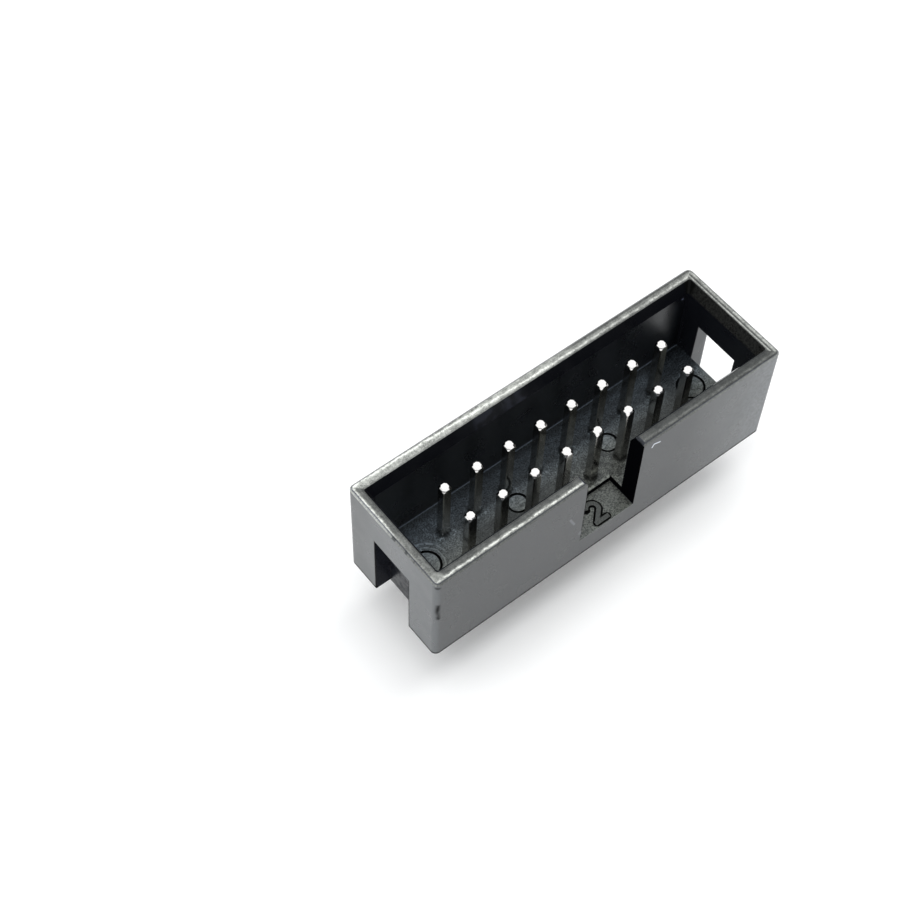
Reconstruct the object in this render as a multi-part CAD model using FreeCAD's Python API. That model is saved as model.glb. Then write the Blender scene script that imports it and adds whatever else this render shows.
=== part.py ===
import FreeCAD, Part
import math
import os

# Right-angle box header with two rows of square contacts in a walled, keyed housing.
# Frame: origin at the centre of the contact field on the cavity floor.
# X runs along the length, Y from the key side to the board side, Z out of the mouth.

# contact field
pitch = 2.54
positions = 8
row_y = (pitch / 2, -pitch / 2)

# housing block
end_margin = 2 * pitch
body_length = (positions - 1) * pitch + 2 * end_margin
body_width = 8.75
floor_thickness = 2.6
cavity_depth = 6.35
corner_radius = 0.4
rim_break = 0.16
back_break = 0.1

# walls: slight draft from the cavity floor to the lead-in, then a slope out to a thin rim
side_base = 1.2
side_lip = 1.17
side_rim = 0.76
end_base = 1.15
end_lip = 1.02
end_rim = 0.64
lead_in_depth = 0.8
cavity_corner_radius = 0.15

# key slot in the wall away from the board, with a lowered pocket at its foot
slot_width = 4.5
pocket_depth = 0.5
pocket_inset = 2.25
slot_corner_radius = 0.3

# raised numeral on the pocket floor
numeral_x = -0.12
numeral_width = 1.15
numeral_height = 1.7
numeral_stroke = 0.3
numeral_relief = 0.1
numeral_margin = 0.15

# openings through both end walls, from the back face to above the cavity floor
window_width = 3.42
window_rise = 3.4

# contact wire: posts end below the rim, tails stick out past the board side
wire = 0.64
wire_edge = 0.06
bend_inner_radius = 0.3
post_recess = 1.0
tail_stickout = 2.8
first_tail_drop = 1.95
tip_length = 0.22
tip_steps = ((0.1, 0.0, 0.16), (0.15, 0.015, 0.17), (tip_length, 0.08, 0.13))
tail_tip = 0.75
tail_tip_taper = 0.15

# square wells round the contacts in the back face
well_gap = 0.4
well_depth = 0.95

# small feet on the back face and standing ribs on the board side
foot_radius = 0.44
foot_height = 0.22
foot_break = 0.08
foot_y = 1.25 * pitch
rib_span = (positions + 1) / 2 * pitch
rib_width = 0.5
rib_height = 0.24
rib_length = 6.5

# round moulding marks on the cavity floor
mark_groove = 0.14
mark_groove_depth = 0.1
mark_sink = 0.03
end_mark_inset = 2.75
end_mark_radius = 1.0
inner_mark_x = 1.5 * pitch
inner_mark_radius = 0.75

# levels and half sizes that follow from the sizes above
half_length = body_length / 2
half_width = body_width / 2
back_z = -floor_thickness
rim_z = cavity_depth
post_top = cavity_depth - post_recess
tail_end_y = half_width + rib_height + tail_stickout
well_width = wire + 2 * well_gap
marks = ((half_length - end_mark_inset, end_mark_radius), (inner_mark_x, inner_mark_radius))

# how far cutting shapes run past the faces they open
over = 1.0
Z = FreeCAD.Vector(0, 0, 1)


def block(x0, x1, y0, y1, z0, z1):
    """Box between two corners."""
    return Part.makeBox(x1 - x0, y1 - y0, z1 - z0, FreeCAD.Vector(x0, y0, z0))


def edges_in(shape, keep):
    """Edges of a shape whose bounding box passes a test."""
    return [edge for edge in shape.Edges if keep(edge.BoundBox)]


def edges_at(shape, z):
    """Edges of a shape that lie flat at height z."""
    return edges_in(shape, lambda b: abs(b.ZMin - z) < 0.001 and abs(b.ZMax - z) < 0.001)


def rounded_outline(half_x, half_y, radius, z):
    """Closed rectangle with round corners, centred on the Z axis at height z."""
    solid = block(-half_x, half_x, -half_y, half_y, z, z + 1)
    solid = solid.makeFillet(radius, edges_in(solid, lambda b: b.ZLength > 0.5))
    lowest = min(solid.Faces, key=lambda face: face.BoundBox.ZMax)
    return lowest.OuterWire


def contact_x(index):
    """Centre of one column of contacts."""
    return (index - (positions - 1) / 2) * pitch


def wire_profile(z, inward=0.0, edge=wire_edge):
    """Closed outline of the contact wire at height z, a square drawn in from full size with broken edges."""
    half = wire / 2 - inward
    cut = half - edge
    ring = [(half, -cut), (half, cut), (cut, half), (-cut, half)]
    ring += [(-x, -y) for x, y in ring]
    points = [FreeCAD.Vector(x, y, z) for x, y in ring]
    return Part.makePolygon(points + points[:1])


def wire_bar(z0, z1):
    """Straight length of contact wire along Z."""
    face = Part.Face(wire_profile(z0))
    return face.extrude(FreeCAD.Vector(0, 0, z1 - z0))


def wire_end(z, steps):
    """Shaped end of the wire from full size at height z, through rings given by rise, inward and edge."""
    rings = [wire_profile(z)]
    for rise, inward, edge in steps:
        rings.append(wire_profile(z + rise, inward, edge))
    return Part.makeLoft(rings, True, True)


def contact(y, drop):
    """One contact: mating post along Z, a right-angle bend and a solder tail along +Y."""
    bend = bend_inner_radius + wire / 2
    tail_z = back_z - drop
    post_foot = tail_z + bend
    tip_z = post_top - tip_length
    post = wire_bar(post_foot, tip_z)
    tip = wire_end(tip_z, tip_steps)
    elbow_face = Part.Face(wire_profile(post_foot))
    elbow = elbow_face.revolve(FreeCAD.Vector(0, bend, post_foot), FreeCAD.Vector(1, 0, 0), 90)
    tail_length = tail_end_y - tail_tip - (y + bend)
    tail = wire_bar(0, tail_length)
    point = wire_end(tail_length, ((tail_tip, tail_tip_taper, wire_edge),))
    run = tail.fuse(point)
    run.rotate(FreeCAD.Vector(0, 0, 0), FreeCAD.Vector(1, 0, 0), -90)
    run.translate(FreeCAD.Vector(0, bend, tail_z))
    whole = post.fuse([tip, elbow, run]).removeSplitter()
    whole.translate(FreeCAD.Vector(0, y, 0))
    return whole


def outer_block():
    """Housing block with rounded corners, a sloped outer edge on the rim and a finer one on the back."""
    solid = block(-half_length, half_length, -half_width, half_width, back_z, rim_z)
    upright = edges_in(solid, lambda b: b.ZLength > cavity_depth)
    solid = solid.makeFillet(corner_radius, upright)
    solid = solid.makeChamfer(rim_break, edges_at(solid, rim_z))
    return solid.makeChamfer(back_break, edges_at(solid, back_z))


def cavity():
    """Drafted mating cavity that opens out in a lead-in below the rim, given by wall thickness and height."""
    beyond = over / lead_in_depth
    end_over = end_rim - (end_lip - end_rim) * beyond
    side_over = side_rim - (side_lip - side_rim) * beyond
    levels = ((end_base, side_base, 0), (end_lip, side_lip, rim_z - lead_in_depth),
              (end_over, side_over, rim_z + over))
    rings = []
    for end_wall, side_wall, z in levels:
        rings.append(rounded_outline(half_length - end_wall, half_width - side_wall, cavity_corner_radius, z))
    return Part.makeLoft(rings, True, True)


def key_slot():
    """Slot through the key wall, with rounded mouth corners and a pocket below the cavity floor."""
    half = slot_width / 2
    front = -half_width - over
    inner = -half_width + pocket_inset
    cuts = [block(-half, half, front, inner, -pocket_depth, rim_z + over)]
    radius = slot_corner_radius
    low = rim_z - radius
    for side in (-1, 1):
        edge = side * (half + radius)
        corner = block(min(0, edge), max(0, edge), front, inner, low, rim_z + over)
        axis = FreeCAD.Vector(edge, front, low)
        depth = inner - front
        cuts.append(corner.cut(Part.makeCylinder(radius, depth, axis, FreeCAD.Vector(0, 1, 0))))
    return cuts


def end_windows():
    """Openings through both end walls, as deep as the wall is thick at the floor."""
    half = window_width / 2
    inner = half_length - end_base
    top = window_rise
    near = block(-half_length - over, -inner, -half, half, back_z - over, top)
    far = block(inner, half_length + over, -half, half, back_z - over, top)
    return [near, far]


def contact_seats(y):
    """Press-fit hole and well for every contact of one row."""
    cuts = []
    half = well_width / 2
    for index in range(positions):
        x = contact_x(index)
        hole = wire_bar(back_z - over, over)
        hole.translate(FreeCAD.Vector(x, y, 0))
        well = block(x - half, x + half, y - half, y + half, back_z - over, back_z + well_depth)
        cuts += [hole, well]
    return cuts


def floor_marks():
    """Ringed round marks on the centre line of the cavity floor."""
    cuts = []
    for offset, radius in marks:
        for x in (-offset, offset):
            low = FreeCAD.Vector(x, 0, -mark_groove_depth)
            disc = Part.makeCylinder(radius, mark_groove_depth + over, low, Z)
            core = Part.makeCylinder(radius - mark_groove, mark_groove_depth - mark_sink, low, Z)
            cuts.append(disc.cut(core))
    return cuts


def numeral():
    """Raised plain figure two lying on the pocket floor, read from the key side."""
    low = -pocket_depth - 0.05
    tall = numeral_relief + 0.05
    bowl = numeral_width / 2
    inside = bowl - numeral_stroke
    base_y = -half_width + numeral_margin
    centre_y = base_y + numeral_height - bowl
    centre = FreeCAD.Vector(numeral_x, centre_y, low)
    arc = Part.makeCylinder(bowl, tall, centre, Z, 190)
    arc.rotate(centre, Z, -30)
    arc = arc.cut(Part.makeCylinder(inside, tall, centre, Z))
    foot = block(numeral_x - bowl, numeral_x + bowl, base_y, base_y + numeral_stroke, low, low + tall)
    mid = (bowl + inside) / 2
    start_x = numeral_x + mid * math.cos(math.radians(-30))
    start_y = centre_y + mid * math.sin(math.radians(-30))
    end_x = numeral_x - bowl + numeral_stroke / 2
    end_y = base_y + numeral_stroke / 2
    run = math.hypot(start_x - end_x, start_y - end_y)
    half = numeral_stroke / 2
    stem = block(0, run, -half, half, low, low + tall)
    slope = math.degrees(math.atan2(start_y - end_y, start_x - end_x))
    stem.rotate(FreeCAD.Vector(0, 0, 0), Z, slope)
    stem.translate(FreeCAD.Vector(end_x, end_y, 0))
    spots = ((start_x, start_y), (end_x, end_y))
    joints = [Part.makeCylinder(half, tall, FreeCAD.Vector(x, y, low), Z) for x, y in spots]
    return arc.fuse([foot, stem] + joints).removeSplitter()


def feet():
    """Four low round feet on the back face."""
    made = []
    for x in (-rib_span, rib_span):
        for y in (-foot_y, foot_y):
            top = FreeCAD.Vector(x, y, back_z + foot_break)
            foot = Part.makeCylinder(foot_radius, foot_height + foot_break, top, -Z)
            rim = edges_in(foot, lambda b: b.ZMax < back_z)
            made.append(foot.makeChamfer(foot_break, [e for e in rim if e.Length > foot_radius * 4]))
    return made


def ribs():
    """Three standing ribs on the board side, from the back face toward the mouth."""
    made = []
    for x in (-rib_span, 0, rib_span):
        low = back_z + back_break
        rib = block(x - rib_width / 2, x + rib_width / 2, half_width - 0.2, half_width + rib_height,
                    low, low + rib_length)
        made.append(rib)
    return made


def housing():
    """The moulded housing, one solid."""
    body = outer_block()
    body = body.cut([cavity()] + key_slot() + end_windows())
    for y in row_y:
        body = body.cut(contact_seats(y))
    body = body.cut(floor_marks())
    body = body.fuse(feet() + ribs() + [numeral()]).removeSplitter()
    return body


def export(shape, name):
    """Write one valid solid as a STEP file."""
    solid = shape.Solids[0]
    if len(shape.Solids) != 1 or not solid.isValid():
        raise ValueError(name + " is not one valid solid")
    solid.exportStep("parts/" + name + ".step")


os.makedirs("parts", exist_ok=True)
export(housing(), "housing")
for row, y in enumerate(row_y):
    pattern = contact(y, first_tail_drop + row * pitch)
    for index in range(positions):
        piece = pattern.copy()
        piece.translate(FreeCAD.Vector(contact_x(index), 0, 0))
        export(piece, "contact_%02d" % (row * positions + index + 1))
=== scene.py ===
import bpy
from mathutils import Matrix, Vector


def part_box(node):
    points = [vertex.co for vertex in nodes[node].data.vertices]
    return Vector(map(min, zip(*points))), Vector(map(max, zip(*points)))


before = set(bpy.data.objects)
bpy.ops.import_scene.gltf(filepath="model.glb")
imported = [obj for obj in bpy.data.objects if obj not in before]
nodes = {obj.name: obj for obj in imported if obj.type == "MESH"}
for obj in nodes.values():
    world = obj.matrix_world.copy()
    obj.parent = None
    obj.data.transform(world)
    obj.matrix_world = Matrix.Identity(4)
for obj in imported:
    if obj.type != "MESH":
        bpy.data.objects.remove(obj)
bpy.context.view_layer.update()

from types import SimpleNamespace

import bpy
from mathutils import Matrix, Vector

# Places on the part are in millimetres, from the centre of the contact field on the cavity floor:
# x along the rows, y toward the board, z out of the mouth. The near end is the one at -x.
# MM turns the frame's metres into them. In the masks below, plain numbers are such places too,
# and widths over which a mask fades.
MM = 1000.0
HALF_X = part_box("housing")[1].x * MM
HALF_Y = -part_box("housing")[0].y * MM
RIM_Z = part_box("housing")[1].z * MM
FRONT_Y = -HALF_Y

# posts: half the pitch, end of the rows, and where a tip starts
HALF_PITCH = 1.27
ROW_END = 8 * HALF_PITCH
TIP_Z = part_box("contact_01")[1].z * MM - 0.22

# upright corners, small break round the rim, lead-in slope below the rim, and back face above the feet
CORNER = 0.4
BREAK_Z = RIM_Z - 0.16
LEAD_Z = RIM_Z - 0.8
BACK_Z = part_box("housing")[0].z * MM + 0.22

# half sizes of the cavity floor, of the key slot and of the windows in the end walls
CAVITY_X = HALF_X - 1.15
CAVITY_Y = HALF_Y - 1.2
SLOT_X = 2.25
WINDOW_Y = 1.71
WINDOW_TOP = 3.4

# key pocket: its edge toward the posts, its floor, the top of its raised figure and the figure's path
POCKET_Y = FRONT_Y + 2.25
POCKET_Z = -0.5
FIGURE_Z = -0.4
FIGURE = ((-0.52, -2.95), (-0.42, -2.77), (-0.12, -2.675), (0.16, -2.78), (0.30, -3.05),
          (0.248, -3.31), (-0.545, -4.075), (0.305, -4.075))

# round moulding marks on the cavity floor: distance from the middle and radius, then their groove
END_MARK = (HALF_X - 2.75, 1.0)
INNER_MARK = (3 * HALF_PITCH, 0.75)
GROOVE_WIDTH = 0.14
GROOVE_DEPTH = 0.1

# grey level of lines painted black: painted shade in the grooves, round the raised figure, on the key
# slot's walls and round the post feet, and a few dark marks and thin edge lines
BLACK = 0.0025

# single pale marks: rubbed spots and scratches on the front face, and small pale spots inside the cavity
# near the far end; points of each stroke, half width, soft edge and strength
PALE_MARKS = (
    ([(3.03, FRONT_Y, 5.46), (3.15, FRONT_Y, 5.71), (3.67, FRONT_Y, 5.50)], 0.03, 0.06, 0.75),
    ([(-3.4, FRONT_Y, 3.2), (-3.0, FRONT_Y, 2.3)], 0.03, 0.10, 0.10),
    ([(-2.3, FRONT_Y, 0.6), (-1.8, FRONT_Y, 0.1)], 0.10, 0.22, 0.07),
    ([(12.50, 3.19, 5.2), (12.52, 3.19, 5.2)], 0.05, 0.06, 0.35),
    ([(12.95, -3.4, 6.1), (12.98, -3.5, 6.0)], 0.04, 0.06, 0.30),
)
# single dark marks: a nick at the near top corner, and a streak down the front face beside the near
# corner; points of each stroke, half width and soft edge
DARK_NICK = ([(-13.9, -4.3, 5.96), (-13.75, -4.3, 5.93)], 0.08, 0.14)
DARK_STREAK = ([(-13.74, -4.32, 3.75), (-13.80, -4.30, 3.0), (-13.70, -4.34, 2.15)], 0.02, 0.26)

# The photograph's view: where the camera stands, in metres, which way its frame lies, and its lens.
CAMERA_EYE = (-0.04569, -0.04316, 0.09839)
CAMERA_RIGHT = Vector((0.78540, -0.61874, 0.01860))
CAMERA_UP = Vector((0.51126, 0.66536, 0.54397))
CAMERA_LENS = 71.73
CAMERA_SENSOR = 36.0

# Floor under the longer contacts, and lamps: place, size of the panel and power.
FLOOR_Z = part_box("contact_16")[0].z
FLOOR_HALF = 1.5
LAMPS = {
    "key": ((0.0, 0.0, 0.45), (0.60, 0.25), 1.25),
    "side": ((0.42, 0.08, 0.14), (0.30, 0.12), 0.20),
}


class Graph:
    """Short calls that add shader nodes to one node tree, and masks made of them."""

    def __init__(self, tree):
        self.tree = tree
        tree.nodes.clear()

    def put(self, target, value):
        """Link an output to an input, or set the input to a constant."""
        if isinstance(value, bpy.types.NodeSocket):
            self.tree.links.new(value, target)
        elif value is not None:
            target.default_value = value

    def fill(self, node, *values):
        """Put values into the first inputs of a node."""
        for socket, value in zip(node.inputs, values):
            self.put(socket, value)

    def add(self, kind, **sockets):
        """New node with inputs filled by name, with an underscore for each space."""
        node = self.tree.nodes.new(kind)
        for name, value in sockets.items():
            self.put(node.inputs[name.replace("_", " ")], value)
        return node

    def math(self, operation, a, b=None, clamp=False):
        node = self.tree.nodes.new("ShaderNodeMath")
        node.operation = operation
        node.use_clamp = clamp
        self.fill(node, a, b)
        return node.outputs[0]

    def vector(self, operation, a, b=None, output="Vector"):
        node = self.tree.nodes.new("ShaderNodeVectorMath")
        node.operation = operation
        self.fill(node, a, b)
        return node.outputs[output]

    def chain(self, operation, terms):
        """One operation carried through several terms."""
        total = terms[0]
        for term in terms[1:]:
            total = self.math(operation, total, term)
        return total

    def sum(self, *terms):
        return self.chain("ADD", terms)

    def times(self, *terms):
        return self.chain("MULTIPLY", terms)

    def most(self, *terms):
        return self.chain("MAXIMUM", terms)

    def less(self, value, taken):
        return self.math("SUBTRACT", value, taken)

    def ramp(self, value, low, high, at_low, at_high):
        """Smooth change from one number at low to another at high, level outside them."""
        node = self.tree.nodes.new("ShaderNodeMapRange")
        node.interpolation_type = "SMOOTHSTEP"
        self.fill(node, value, low, high, at_low, at_high)
        return node.outputs[0]

    def rise(self, value, low, high):
        return self.ramp(value, low, high, 0.0, 1.0)

    def fall(self, value, low, high):
        return self.ramp(value, low, high, 1.0, 0.0)

    def band(self, value, low, high, soft):
        """1 between two values, fading over a soft width outside them."""
        return self.times(self.rise(value, low - soft, low), self.fall(value, high, high + soft))

    def line(self, value, centre, half, soft):
        """1 along a line at the centre, fading to 0 beyond its half width."""
        off = self.math("ABSOLUTE", self.less(value, centre))
        return self.fall(off, half, half + soft)

    def stretched(self, point, x, y, z):
        return self.vector("MULTIPLY", point, (x, y, z))

    def noise(self, point, scale, detail, rough, distortion=0.0):
        node = self.add("ShaderNodeTexNoise", Vector=point, Scale=scale, Detail=detail,
                        Roughness=rough, Distortion=distortion)
        return node.outputs[0]

    def mix(self, factor, a, b):
        """Colour mix. The node has its colour inputs at 6 and 7 and its number inputs at 2 and 3."""
        node = self.tree.nodes.new("ShaderNodeMix")
        node.data_type = "RGBA"
        self.put(node.inputs[0], factor)
        self.put(node.inputs[6], a)
        self.put(node.inputs[7], b)
        return node.outputs[2]

    def blend(self, factor, a, b):
        """Number mix."""
        node = self.tree.nodes.new("ShaderNodeMix")
        node.data_type = "FLOAT"
        self.put(node.inputs[0], factor)
        self.put(node.inputs[2], a)
        self.put(node.inputs[3], b)
        return node.outputs[0]

    def paint(self, under, *layers):
        """Number with layers laid over it in turn, each a mask and the number that it shows."""
        for mask, over in layers:
            under = self.blend(mask, under, over)
        return under

    def choose(self, factor, a, b):
        """Shader mix."""
        node = self.tree.nodes.new("ShaderNodeMixShader")
        self.fill(node, factor, a.outputs[0], b.outputs[0])
        return node.outputs[0]

    def rays(self, *kinds):
        """1 for the named kinds of ray, 0 for all others."""
        path = self.add("ShaderNodeLightPath")
        return self.most(*(path.outputs[f"Is {kind} Ray"] for kind in kinds))


def material(name):
    """New material, and the graph of its nodes."""
    made = bpy.data.materials.new(name)
    made.use_nodes = True
    return made, Graph(made.node_tree)


def place_mm(g):
    """Place in the part, in millimetres: the whole vector, and its three numbers."""
    coords = g.add("ShaderNodeTexCoord").outputs["Object"]
    point = g.stretched(coords, MM, MM, MM)
    return point, g.add("ShaderNodeSeparateXYZ", Vector=point).outputs


def reach(g, point, start, end):
    """Distance from a straight stroke between two points."""
    run = Vector(end) - Vector(start)
    off = g.vector("SUBTRACT", point, start)
    share = g.vector("DOT_PRODUCT", off, tuple(run / run.length_squared), "Value")
    share = g.math("ADD", share, 0.0, clamp=True)
    nearest = g.vector("MULTIPLY", share, tuple(run))
    return g.vector("LENGTH", g.vector("SUBTRACT", off, nearest), output="Value")


def strokes(g, point, path, half, soft):
    """1 along a chain of straight strokes."""
    gaps = [reach(g, point, start, end) for start, end in zip(path, path[1:])]
    return g.fall(g.chain("MINIMUM", gaps), half, half + soft)


def length(g, x, y):
    """Distance that two offsets at right angles make together."""
    return g.math("SQRT", g.sum(g.times(x, x), g.times(y, y)))


def outer_gap(g, along, across):
    """Distance inward from the rounded outline of the block, seen from above."""
    past_x = g.less(along, HALF_X - CORNER)
    past_y = g.less(across, HALF_Y - CORNER)
    round_part = length(g, g.most(past_x, 0.0), g.most(past_y, 0.0))
    flat_part = g.math("MINIMUM", g.most(past_x, past_y), 0.0)
    return g.less(CORNER, g.sum(round_part, flat_part))


def rim_walls(g, at):
    """Masks of the four walls of the rim, mitred at the corners."""
    side_gap = g.less(HALF_Y, at.across)
    end_gap = g.less(HALF_X, at.along)
    on_end = g.rise(g.less(side_gap, end_gap), -0.05, 0.05)
    on_side = g.less(1.0, on_end)
    behind = g.rise(at.y, -0.1, 0.1)
    return SimpleNamespace(
        front=g.times(on_side, g.less(1.0, behind)), back=g.times(on_side, behind),
        near=g.times(on_end, at.left), far=g.times(on_end, at.right))


def by_wall(g, wall, front, back, near, far):
    """One number for each wall of the rim."""
    return g.sum(g.times(wall.front, front), g.times(wall.back, back),
                 g.times(wall.near, near), g.times(wall.far, far))


def housing_place(g):
    """Where a spot lies on the housing, how far in it is from the outside, and on which wall."""
    at = SimpleNamespace()
    at.point, (at.x, at.y, at.z) = place_mm(g)
    at.flat = g.add("ShaderNodeCombineXYZ", X=at.x, Y=at.y).outputs[0]
    at.along = g.math("ABSOLUTE", at.x)
    at.across = g.math("ABSOLUTE", at.y)
    at.gap = outer_gap(g, at.along, at.across)
    at.right = g.rise(at.x, -0.1, 0.1)
    at.left = g.less(1.0, at.right)
    at.wall = rim_walls(g, at)
    return at


def housing_areas(g, at):
    """Masks of the areas that differ in look: 1 on the area and 0 elsewhere."""
    area = SimpleNamespace()
    area.outside = g.fall(at.gap, 0.05, 0.17)
    area.inside = g.less(1.0, area.outside)
    area.end_face = g.times(area.outside, g.fall(at.x, 0.07 - HALF_X, 0.47 - HALF_X))
    area.far_side = g.times(area.outside, g.rise(at.x, 7.5, 12.5))
    area.key_face = g.fall(at.y, FRONT_Y + 0.075, FRONT_Y + 0.225)

    # rim, its sloped outer edge, and the lead-in below it
    area.rim = g.rise(at.z, RIM_Z - 0.025, RIM_Z - 0.005)
    area.bevel = g.times(g.rise(at.z, BREAK_Z - 0.02, BREAK_Z + 0.01), area.outside)
    area.lead_in = g.times(g.band(at.z, LEAD_Z + 0.01, RIM_Z - 0.03, 0.03), area.inside)
    area.lead_back = g.times(area.lead_in, g.rise(at.y, CAVITY_Y - 0.375, CAVITY_Y - 0.075))
    area.far_end = g.rise(at.x, CAVITY_X - 0.12, CAVITY_X + 0.08)

    # cavity: floor, far end wall, corners and key pocket with its raised figure
    area.between_ends = g.fall(at.along, CAVITY_X - 0.02, CAVITY_X + 0.08)
    area.floor = g.times(g.band(at.z, -GROOVE_DEPTH - 0.02, 0.02, 0.02), area.between_ends,
                         g.fall(at.across, CAVITY_Y - 0.055, CAVITY_Y + 0.045))
    area.far_wall = g.times(g.rise(at.x, CAVITY_X - 0.22, CAVITY_X - 0.02), area.inside,
                            g.fall(at.z, LEAD_Z - 0.05, LEAD_Z + 0.05))
    area.corner = g.times(g.rise(at.along, CAVITY_X - 0.16, CAVITY_X - 0.02),
                          g.rise(at.across, CAVITY_Y - 0.155, CAVITY_Y - 0.035),
                          area.inside, g.fall(at.z, RIM_Z - 0.15, RIM_Z - 0.07))
    area.pocket = g.times(g.band(at.z, POCKET_Z - 0.05, FIGURE_Z + 0.04, 0.02),
                          g.fall(at.along, SLOT_X - 0.03, SLOT_X - 0.01),
                          g.fall(at.y, POCKET_Y + 0.015, POCKET_Y + 0.045))
    area.raised = g.rise(at.z, POCKET_Z + 0.04, POCKET_Z + 0.07)
    area.figure = g.times(area.pocket, area.raised)

    # windows, and the end of the cavity floor that shows in the near one
    opening = g.times(g.rise(at.along, CAVITY_X - 0.04, CAVITY_X - 0.01),
                      g.fall(at.across, WINDOW_Y + 0.05, WINDOW_Y + 0.09),
                      g.fall(at.z, WINDOW_TOP + 0.02, WINDOW_TOP + 0.10))
    area.window = g.times(opening, at.left)
    area.far_window = g.times(opening, at.right)
    area.slab = g.times(area.window, g.fall(at.along, CAVITY_X + 0.01, CAVITY_X + 0.04))
    return area


def plastic_grain(g, point):
    """Textures that the areas of the housing share, from soft clouds to fine grit."""
    fine = g.noise(point, 11.0, 2.0, 0.6)
    return SimpleNamespace(
        fine=fine,
        coarse=g.noise(point, 5.0, 3.0, 0.6),
        drag=g.noise(g.stretched(point, 3.0, 3.0, 0.30), 1.0, 3.0, 0.5, 0.3),
        cloud=g.rise(g.noise(point, 0.55, 3.0, 0.55), 0.35, 0.65),
        grit=g.rise(fine, 0.36, 0.64),
        specks=g.rise(g.noise(point, 5.5, 1.0, 0.5), 0.72, 0.78),
        wear=g.rise(g.noise(point, 2.6, 3.0, 0.6), 0.38, 0.62))


def rim_wear_and_highlight(g, at, grit, shake):
    """Pale line that wanders along the rim, partly wear and partly painted highlight, with a second one
    on the far end wall.
    """
    sway = g.noise(at.flat, 0.9, 2.0, 0.5)
    centre = g.sum(
        by_wall(g, at.wall, front=0.28, back=g.ramp(at.x, -13.0, 3.0, 0.22, 0.56), near=0.19, far=0.27),
        g.times(g.less(sway, 0.5), 0.14), g.times(g.less(shake, 0.5), 0.16))
    core = g.line(at.gap, centre, 0.03, 0.07)
    halo = g.times(g.line(at.gap, centre, 0.06, 0.12), 0.35)
    strength = by_wall(g, at.wall, front=g.ramp(at.x, -3.5, -1.5, 0.9, 0.10),
                       back=g.ramp(at.x, -1.0, 6.0, 1.0, 0.40),
                       near=g.ramp(at.y, -0.8, 1.2, 0.15, 0.85), far=0.40)
    second = g.times(at.wall.far, g.line(at.gap, 0.54, 0.02, 0.05), 0.40)
    pale = g.most(g.times(g.most(core, halo), strength), second)
    return g.times(pale, g.blend(grit, 0.30, 1.30), g.ramp(shake, 0.30, 0.50, 0.55, 1.1))


def rim_strips(g, at, shake):
    """Darker strips on the rim of the back wall and of the far end wall."""
    nicks = g.times(g.fall(at.gap, 0.22, 0.30), g.fall(at.x, -5.0, -2.0), g.rise(shake, 0.45, 0.53))
    outer = g.times(g.fall(at.gap, 0.24, 0.36), g.rise(at.x, 1.0, 5.0))
    end = g.most(g.line(at.gap, 0.41, 0.03, 0.05), g.fall(at.gap, 0.12, 0.19))
    return g.most(g.times(at.wall.back, g.most(nicks, outer)), g.times(at.wall.far, end))


def rim_wear(g, at, grit):
    """Grey level of the rubbed rim, darker toward the cavity, and how pale its line of wear and painted
    highlight is.
    """
    wall = at.wall
    shake = g.noise(at.flat, 4.0, 2.0, 0.6)
    pale = rim_wear_and_highlight(g, at, grit, shake)
    inner = g.most(g.rise(at.gap, 0.60, 0.72),
                   g.times(g.most(wall.near, wall.far), g.rise(at.gap, 0.50, 0.60)))
    tone = g.times(
        by_wall(g, wall, front=g.ramp(at.x, 1.0, 4.0, 0.070, 0.034),
                back=g.ramp(at.x, 0.0, 5.0, 0.34, 0.18),
                near=g.ramp(at.y, -1.0, 1.0, 0.13, 0.10), far=0.13),
        g.blend(rim_strips(g, at, shake), 1.0, 0.36), g.blend(grit, 0.45, 1.5),
        g.blend(inner, 1.0, 0.55))
    near_corner = length(g, g.sum(at.x, HALF_X - 0.42), g.sum(at.y, HALF_Y - 0.425))
    tone = g.paint(tone, (g.fall(near_corner, 0.30, 0.55), g.blend(grit, 0.17, 0.30)),
                   (pale, g.blend(wall.back, 0.76, 0.88)))
    return tone, pale


def bevel_wear_and_light(g, at, grit):
    """Grey level of the sloped outer edge of the rim, partly wear and partly painted light that differs
    from wall to wall, with dark dashes at the near end.
    """
    along_end = g.add("ShaderNodeCombineXYZ", Y=at.y).outputs[0]
    dashes = g.times(at.wall.near, g.rise(at.y, -2.6, -2.2), g.fall(at.y, 0.2, 0.5),
                     g.rise(g.noise(along_end, 2.4, 1.0, 0.5), 0.50, 0.56))
    tone = by_wall(g, at.wall, front=g.ramp(at.x, 3.0, 8.0, 0.105, 0.15), back=0.16,
                   near=g.ramp(at.y, -0.8, 1.2, 0.17, 0.42), far=0.04)
    return g.times(tone, g.blend(grit, 0.75, 1.25), g.blend(dashes, 1.0, 0.15))


def floor_marks(g, at, floor, grit):
    """Round moulding marks on the floor: painted shade in their grooves, scuffed discs, pale arcs round
    the end marks.
    """
    gaps, grooves, discs = [], [], []
    for centre, radius in (END_MARK, INNER_MARK):
        gap = length(g, g.less(at.along, centre), at.y)
        foot = radius - GROOVE_WIDTH
        gaps.append(gap)
        grooves.append(g.band(gap, foot, radius, 0.02))
        discs.append(g.fall(gap, foot - 0.02, foot + 0.02))
    scuff = g.rise(g.noise(g.stretched(at.flat, 1.0, 1.6, 1.0), 3.2, 3.0, 0.65, 0.8), 0.42, 0.62)
    disc = g.times(g.most(*discs), g.blend(scuff, 0.15, 0.75), g.blend(grit, 0.7, 1.2),
                   g.ramp(at.x, 8.0, 10.0, 1.0, 0.35))
    arcs = g.times(g.most(g.line(gaps[0], 1.20, 0.02, 0.06), g.line(gaps[0], 1.50, 0.04, 0.06)),
                   g.rise(g.noise(at.flat, 2.2, 2.0, 0.6), 0.42, 0.56), g.fall(at.x, -8.0, 0.0))
    return g.times(g.most(*grooves), floor), g.times(disc, floor), g.times(arcs, floor)


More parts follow.
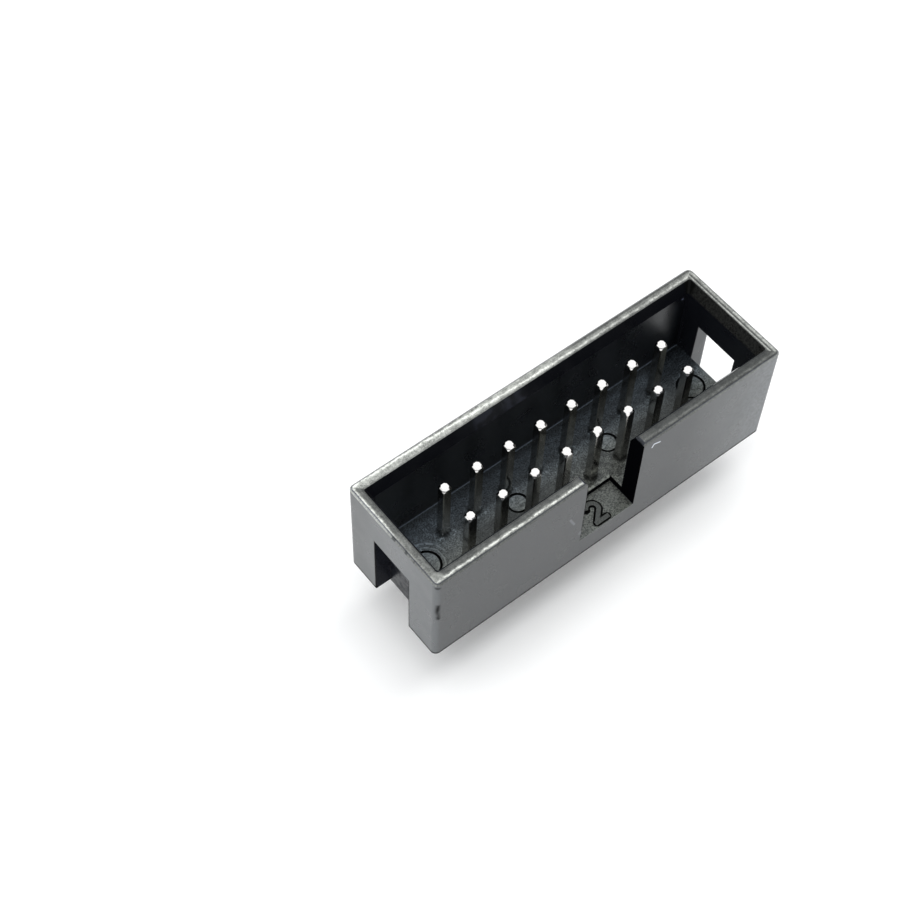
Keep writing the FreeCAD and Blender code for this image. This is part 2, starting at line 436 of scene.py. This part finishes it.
def figure_shade_line(g, at, area):
    """Painted shade: a dark line round the raised figure in the key pocket, set a little toward the far
    end and the board.
    """
    shift, half, soft = 0.035, 0.27, 0.03
    path = [(x + shift, y + shift, 0.0) for x, y in FIGURE]
    low = g.less(1.0, area.raised)
    return g.times(area.pocket, strokes(g, at.flat, path, half, soft), low)


def key_wall_shade(g, at):
    """Painted shade on the upright walls of the key slot and on the step from the cavity floor down to
    its pocket.
    """
    sides = g.times(g.line(at.along, SLOT_X, 0.02, 0.02),
                    g.fall(at.y, POCKET_Y + 0.025, POCKET_Y + 0.075),
                    g.rise(at.z, POCKET_Z + 0.01, POCKET_Z + 0.03))
    back = g.times(g.line(at.y, POCKET_Y, 0.015, 0.015),
                   g.fall(at.along, SLOT_X - 0.01, SLOT_X + 0.01),
                   g.band(at.z, POCKET_Z + 0.04, -0.03, 0.02))
    return g.most(sides, back)


def post_foot_shade(g, at, floor):
    """Soft painted shade round the foot of every post."""
    along_row = g.math("PINGPONG", g.less(at.x, HALF_PITCH), HALF_PITCH)
    gap = length(g, along_row, g.less(at.across, HALF_PITCH))
    return g.times(g.fall(gap, 0.43, 0.56), floor, g.fall(at.along, ROW_END - 0.06, ROW_END + 0.04))


def dark_edges(g, at, outside):
    """Thin dark lines on the lower edge and beside two upright corners of the block."""
    lower = g.times(outside, g.fall(at.z, BACK_Z + 0.20, BACK_Z + 0.32))
    far_corner = g.times(g.band(at.x, HALF_X - 0.21, HALF_X - 0.13, 0.05),
                         g.fall(at.y, FRONT_Y + 0.225, FRONT_Y + 0.275))
    back_corner = g.times(g.band(at.y, HALF_Y - 0.175, HALF_Y - 0.095, 0.06),
                          g.fall(at.x, 0.27 - HALF_X, 0.47 - HALF_X))
    below_bevel = g.fall(at.z, BREAK_Z - 0.09, BREAK_Z + 0.01)
    return g.most(lower, g.times(outside, g.most(far_corner, back_corner), below_bevel))


def stray_marks(g, point):
    """Single marks: how pale each is and how dark."""
    pale = g.sum(*(g.times(strokes(g, point, path, half, soft), strength)
                   for path, half, soft, strength in PALE_MARKS))
    uneven = g.ramp(g.noise(point, 1.4, 2.0, 0.6), 0.30, 0.60, 0.50, 1.0)
    dark = g.most(g.times(strokes(g, point, *DARK_NICK), 0.75),
                  g.times(strokes(g, point, *DARK_STREAK), uneven, 0.95))
    return pale, dark


def floor_ground(g, at, grain):
    """Grey level of the bare cavity floor: painted light where light from the slot and a window falls in
    and in a band along the middle, and painted shade toward the back wall and in the far corner.
    """
    key_glow = g.times(g.fall(at.y, -1.2, 0.8), g.line(at.x, 1.3, 1.5, 2.2))
    board_half = g.blend(g.rise(at.along, 5.0, 9.0), 0.029, 0.040)
    key_half = g.sum(g.times(g.fall(at.x, -8.8, -7.2), 0.055), g.times(key_glow, 0.048), 0.025)
    row_glow = g.times(g.band(at.y, 0.25, 0.75, 0.45), g.rise(at.x, -8.0, -5.0),
                       g.fall(at.x, 8.5, 9.5), 0.034)
    window_glow = g.times(g.rise(at.x, 10.2, 12.0), g.fall(at.y, 0.2, 1.6), 0.060)
    tone = g.sum(g.blend(g.fall(at.y, -0.6, 2.4), board_half, key_half), row_glow, window_glow)
    # painted shade in the far corner and toward the foot of the back wall
    far_corner = g.times(g.rise(at.x, 8.8, 10.2), g.rise(at.y, 0.8, 1.4))
    return g.times(tone, g.ramp(at.y, 2.3, 3.0, 1.0, 0.40), g.blend(far_corner, 1.0, 0.45),
                   g.blend(grain.grit, 0.40, 1.60),
                   g.blend(grain.wear, g.blend(key_glow, 0.80, 0.45), 1.30))


def floor_scuffs_and_highlights(g, at, area, grain):
    """Rubbed spots at the posts next to the board, and painted highlights along the key pocket's edge
    and along the foot of the back wall.
    """
    beside_post = g.line(g.math("PINGPONG", at.x, HALF_PITCH), 0.86, 0.14, 0.3)
    posts = g.times(beside_post, g.line(at.y, 0.95, 0.25, 0.45), area.floor,
                    g.rise(grain.coarse, 0.52, 0.66), g.ramp(at.x, -8.0, -4.0, 1.0, 0.5))
    pocket_edge_highlight = g.times(g.line(at.y, POCKET_Y + 0.095, 0.05, 0.08), area.floor,
                  g.fall(at.along, SLOT_X - 0.05, SLOT_X + 0.05), grain.wear)
    wall_foot_highlight = g.times(g.band(at.y, CAVITY_Y - 0.035, CAVITY_Y + 0.125, 0.06),
                        g.band(at.z, -0.02, 0.03, 0.04), area.between_ends)
    return posts, pocket_edge_highlight, wall_foot_highlight


def wall_tone(g, at, area, grain):
    """Grey level of the walls, in the cavity and outside, with the lead-in and the windows. The cavity's
    walls are painted darker as shade, and lighter toward the far end; the near end face and the far
    window's jamb are painted lighter as light falls on them.
    """
    cavity_shade = g.times(g.blend(grain.cloud, 0.0040, 0.0062), g.ramp(at.x, 1.0, 6.0, 1.0, 1.5))
    # painted reflections: two lighter patches on the lead-in of the back wall
    back_reflections = g.most(g.line(at.x, -4.1, 0.5, 0.5), g.line(at.x, -1.7, 0.6, 0.6))
    back_reflections = g.times(area.lead_back, back_reflections, g.rise(g.noise(at.point, 1.3, 1.0, 0.4), 0.35, 0.55))
    return g.paint(
        cavity_shade,
        (area.outside, g.blend(grain.cloud, 0.012, 0.018)),
        # painted light on the near end face
        (g.times(area.end_face, g.fall(at.y, -1.0, 2.5)), 0.042),
        (area.far_wall, 0.009),
        (area.lead_in, g.blend(grain.grit, 0.002, 0.024)),
        (area.lead_back, g.blend(back_reflections, 0.004, 0.018)),
        (area.window, g.blend(grain.grit, 0.006, 0.026)),
        (area.slab, 0.012),
        # painted light on the far window's jamb
        (area.far_window, 0.045))


def housing_tone(g, at, area, grain, marks, rim_grey, shade_and_dark_marks):
    """Grey level of the plastic, area by area."""
    posts, pocket_edge_highlight, wall_foot_highlight = floor_scuffs_and_highlights(g, at, area, grain)
    below_rim = g.fall(at.z, RIM_Z - 0.015, RIM_Z - 0.005)
    tone = g.paint(
        wall_tone(g, at, area, grain),
        (area.floor, floor_ground(g, at, grain)),
        # the key pocket painted lighter, as light falling in through the slot
        (area.pocket, g.times(0.080, g.blend(grain.grit, 0.35, 1.65))),
        (marks.disc, 0.20),
        (g.times(marks.arcs, 0.5), 0.24),
        (g.times(posts, 0.6), 0.30),
        # painted highlights along the key pocket's edge and along the foot of the back wall
        (g.times(pocket_edge_highlight, 0.5), 0.34),
        (g.times(wall_foot_highlight, 0.8), 0.10),
        (area.figure, g.blend(grain.grit, 0.030, 0.055)),
        (g.times(area.bevel, below_rim), bevel_wear_and_light(g, at, grain.grit)),
        (area.rim, rim_grey),
        (g.times(grain.specks, area.outside, g.blend(area.far_side, 0.30, 0.85)), 0.10))
    # the far end of the front face is rubbed, and painted lighter as light falling there
    rubbed_and_lit = g.times(area.outside, g.rise(at.x, 10.8, 13.2), g.fall(area.rim, 0.0, 0.5), area.key_face,
                     g.ramp(grain.coarse, 0.38, 0.62, 0.4, 1.6))
    tone = g.paint(g.sum(tone, g.times(rubbed_and_lit, 0.036)), (shade_and_dark_marks, BLACK))
    return g.sum(tone, marks.pale)


def housing_tint(g, at, area):
    """Slight colour of the black, painted by light and shade: bluish in the cavity and on the board half
    of the floor, where shade falls; nearly neutral outside and on the key half of the floor, where light
    falls, and where it is worn.
    """
    floor_tint = g.mix(g.fall(at.y, -1.6, 2.2), (0.80, 1.0, 1.20, 1), (0.99, 1.05, 0.94, 1))
    tint = g.mix(g.most(area.outside, area.far_window), (0.80, 0.88, 1.24, 1), (0.94, 0.99, 1.10, 1))
    tint = g.mix(g.most(area.floor, area.pocket), tint, floor_tint)
    worn = g.most(area.rim, area.bevel, g.times(area.lead_in, area.far_end))
    return g.mix(worn, tint, (0.98, 1.0, 0.93, 1))


def housing_gloss(g, at, area, grain, shade_and_dark_marks):
    """How strongly the plastic mirrors: most on the far part of the outside, hardly in the windows."""
    # Painted sheen: the stronger mirroring toward the far end and on the near end face. Painted shade:
    # the weak mirroring in the windows, on the back lead-in and in the inner corners.
    in_cavity = 0.36
    face = g.paint(g.blend(g.rise(at.x, 5.5, 12.5), 0.455, 1.0),
                   (area.end_face, g.ramp(at.y, 1.5, 3.6, 1.0, 0.72)))
    uneven = g.blend(g.times(area.far_side, area.key_face), 1.0, g.blend(grain.wear, 0.86, 1.12))
    face = g.times(face, g.blend(grain.cloud, 0.90, 1.06),
                   g.blend(g.rise(grain.coarse, 0.35, 0.65), 0.95, 1.04), uneven)
    return g.paint(
        in_cavity,
        (area.outside, face),
        (area.lead_in, g.blend(area.far_end, in_cavity, 0.20)),
        (area.lead_back, 0.10),
        (area.corner, 0.06),
        (area.window, g.blend(area.slab, 0.015, g.blend(grain.wear, 0.07, 0.22))),
        (shade_and_dark_marks, 0.0))


def housing_plastic():
    """Black moulded plastic: smooth outside, blacker inside with painted shade, a scuffed floor with
    painted light and highlights, and a rubbed rim with a painted highlight.
    """
    made, g = material("housing_black_plastic")
    at = housing_place(g)
    area = housing_areas(g, at)
    grain = plastic_grain(g, at.point)

    rim_grey, wear_and_highlight_line = rim_wear(g, at, g.blend(0.5, grain.grit, grain.wear))
    marks = SimpleNamespace()
    marks.groove, marks.disc, marks.arcs = floor_marks(g, at, area.floor, grain.grit)
    marks.pale, marks.dark = stray_marks(g, at.point)
    # Painted shade in the floor grooves, round the raised figure, on the key slot's walls and round the
    # post feet, with the dark nick, the dark streak and the thin dark edge lines.
    shade_and_dark_marks = g.most(marks.groove, figure_shade_line(g, at, area), key_wall_shade(g, at), marks.dark,
                   g.times(post_foot_shade(g, at, area.floor), 0.70), dark_edges(g, at, area.outside))

    tone = housing_tone(g, at, area, grain, marks, rim_grey, shade_and_dark_marks)
    base = g.mix(tone, (0, 0, 0, 1), housing_tint(g, at, area))
    rough = g.paint(g.blend(grain.cloud, 0.27, 0.34), (area.floor, g.blend(grain.fine, 0.14, 0.28)),
                    (area.rim, 0.45))
    gloss = housing_gloss(g, at, area, grain, shade_and_dark_marks)
    height = g.sum(g.times(grain.fine, g.blend(area.floor, 0.10, 0.45)), g.times(grain.drag, 0.10),
                   g.times(grain.coarse, g.blend(area.floor, 0.10, 0.35)), g.times(wear_and_highlight_line, 0.3))
    bump = g.add("ShaderNodeBump", Strength=0.5, Distance=0.02 / MM, Height=height)
    shader = g.add("ShaderNodeBsdfPrincipled", Base_Color=base, Roughness=rough, IOR=1.54,
                   Specular_IOR_Level=gloss, Specular_Tint=(0.90, 0.97, 1.0, 1),
                   Normal=bump.outputs[0])
    g.add("ShaderNodeOutputMaterial", Surface=shader.outputs[0])
    return made


def contact_metal():
    """Bright tin over drawn wire: faint lengthwise lines and soft blotches, a painted highlight on the
    cut tips, and painted shade on the shafts and on the sides turned from the light.
    """
    made, g = material("contact_bright_tin")
    point, numbers = place_mm(g)
    z = numbers["Z"]
    normal = g.add("ShaderNodeTexCoord").outputs["Normal"]
    facing = g.add("ShaderNodeSeparateXYZ", Vector=normal).outputs
    lines = g.noise(g.stretched(point, 14.0, 3.0, 1.2), 1.0, 2.0, 0.5)
    blotch = g.noise(point, 1.1, 2.0, 0.5)

    # painted shade on the shafts in the cavity, on the faces of the tips toward the far end and the
    # board, and on the tails' sides
    shaft_shade = g.times(g.fall(z, TIP_Z - 0.07, TIP_Z + 0.03), g.rise(z, -0.5, 0.1))
    turned_away = g.rise(g.most(facing["X"], facing["Y"]), 0.25, 0.50)
    tip_side_shade = g.times(turned_away, g.rise(z, TIP_Z - 0.07, TIP_Z - 0.01))
    tail_side_shade = g.times(g.rise(g.math("ABSOLUTE", facing["X"]), 0.5, 0.9), g.fall(z, -1.6, -1.0))

    base = g.mix(g.rise(blotch, 0.35, 0.7), (0.80, 0.785, 0.74, 1), (0.90, 0.885, 0.85, 1))
    # painted highlight on the cut tips
    base = g.mix(g.rise(z, TIP_Z - 0.03, TIP_Z + 0.03), base, (0.97, 0.96, 0.95, 1))
    base = g.mix(g.times(shaft_shade, 0.80), base, (0.30, 0.29, 0.275, 1))
    base = g.mix(g.times(tip_side_shade, 0.85), base, (0.20, 0.19, 0.18, 1))
    base = g.mix(g.times(tail_side_shade, g.ramp(lines, 0.30, 0.65, 0.75, 1.0)), base, (0.40, 0.37, 0.315, 1))
    rough = g.blend(g.rise(blotch, 0.3, 0.7), 0.12, 0.18)
    bump = g.add("ShaderNodeBump", Strength=0.12, Distance=0.01 / MM, Height=lines)
    shader = g.add("ShaderNodeBsdfPrincipled", Base_Color=base, Metallic=1.0, Roughness=rough,
                   Normal=bump.outputs[0])
    g.add("ShaderNodeOutputMaterial", Surface=shader.outputs[0])
    return made


def dress(node, made):
    """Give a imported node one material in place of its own."""
    slots = node.data.materials
    slots.clear()
    slots.append(made)


def floor_material():
    """Plain white paper that keeps the shadow. Camera and mirror rays see it as full white."""
    made, g = material("floor_white")
    paper = g.add("ShaderNodeBsdfDiffuse", Color=(0.80, 0.80, 0.795, 1))
    seen = g.add("ShaderNodeBsdfDiffuse", Color=(1.0, 1.0, 0.996, 1))
    g.add("ShaderNodeOutputMaterial", Surface=g.choose(g.rays("Camera", "Glossy"), paper, seen))
    return made


def make_floor():
    """Square sheet that the longer contacts stand on."""
    mesh = bpy.data.meshes.new("floor")
    signs = ((-1, -1), (1, -1), (1, 1), (-1, 1))
    mesh.from_pydata([(x * FLOOR_HALF, y * FLOOR_HALF, FLOOR_Z) for x, y in signs], [], [(0, 1, 2, 3)])
    mesh.materials.append(floor_material())
    floor = bpy.data.objects.new("floor", mesh)
    bpy.context.scene.collection.objects.link(floor)


def make_world():
    """White tent: brighter overhead than at the sides, and plain white where it is looked at."""
    world = bpy.data.worlds.new("studio")
    bpy.context.scene.world = world
    world.use_nodes = True
    g = Graph(world.node_tree)
    coords = g.add("ShaderNodeTexCoord").outputs["Generated"]
    height = g.add("ShaderNodeSeparateXYZ", Vector=coords).outputs[2]
    tent = g.add("ShaderNodeBackground", Color=(0.97, 0.985, 1.0, 1),
                 Strength=g.ramp(height, 0.0, 0.95, 0.18, 1.10))
    white = g.add("ShaderNodeBackground", Color=(1, 1, 1, 1), Strength=1.0)
    seen = g.rays("Camera", "Transmission", "Glossy")
    g.add("ShaderNodeOutputWorld", Surface=g.choose(seen, tent, white))


def softbox(name, eye, size, power):
    """Lit panel that faces the part."""
    lamp = bpy.data.lights.new(name, "AREA")
    lamp.shape = "RECTANGLE"
    lamp.size, lamp.size_y = size
    lamp.energy = power
    obj = bpy.data.objects.new(name, lamp)
    obj.location = eye
    obj.rotation_mode = "QUATERNION"
    obj.rotation_quaternion = (-Vector(eye)).to_track_quat("-Z", "Y")
    bpy.context.scene.collection.objects.link(obj)


def make_camera():
    """Camera at the photograph's viewing angle."""
    cam = bpy.data.cameras.new("camera")
    cam.sensor_width = CAMERA_SENSOR
    cam.lens = CAMERA_LENS
    cam.clip_start = 0.005
    cam.clip_end = 20.0
    back = CAMERA_RIGHT.cross(CAMERA_UP).normalized()
    up = back.cross(CAMERA_RIGHT).normalized()
    turn = Matrix((CAMERA_RIGHT.normalized(), up, back)).transposed().to_4x4()
    obj = bpy.data.objects.new("camera", cam)
    obj.matrix_world = Matrix.Translation(CAMERA_EYE) @ turn
    bpy.context.scene.collection.objects.link(obj)
    bpy.context.scene.camera = obj


make_camera()
make_floor()
make_world()
for name, (eye, size, power) in LAMPS.items():
    softbox(name, eye, size, power)

plastic = housing_plastic()
metal = contact_metal()
for name, node in nodes.items():
    dress(node, plastic if name == "housing" else metal)

bpy.context.scene.view_settings.view_transform = "Standard"
